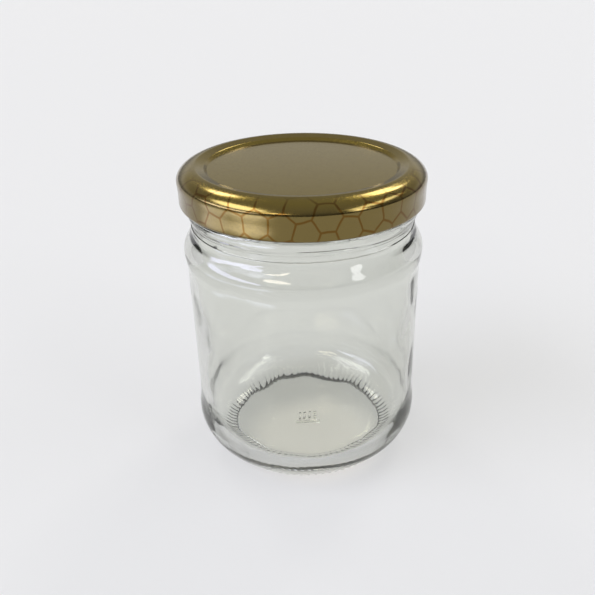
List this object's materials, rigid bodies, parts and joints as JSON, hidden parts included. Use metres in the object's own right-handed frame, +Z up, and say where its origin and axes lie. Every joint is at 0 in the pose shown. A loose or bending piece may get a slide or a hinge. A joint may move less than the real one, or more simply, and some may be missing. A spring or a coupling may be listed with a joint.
{
  "type": "honey jar",
  "caption": "Round clear glass jar with a rounded shoulder and heel, closed by a gold twist-off lid and standing empty, for honey or preserves.",
  "frame": {"origin": "middle of the ring under the foot that the jar stands on", "axes": "+Z up along the jar's turning axis, out through the lid; -Y faces the viewer of the picture"},
  "size_m": [0.0694, 0.0694, 0.0904],
  "materials": {
    "clear_glass": "clear, polished soda-lime glass",
    "gold_lacquer": "satin gold lacquer on tinplate, with thin orange honeycomb lines",
    "sealing_compound": "soft, matt"
  },
  "bodies": {
    "root": {"glass_jar": "clear_glass", "lid": "gold_lacquer", "lid_seal": "sealing_compound"}
  },
  "joints": []
}
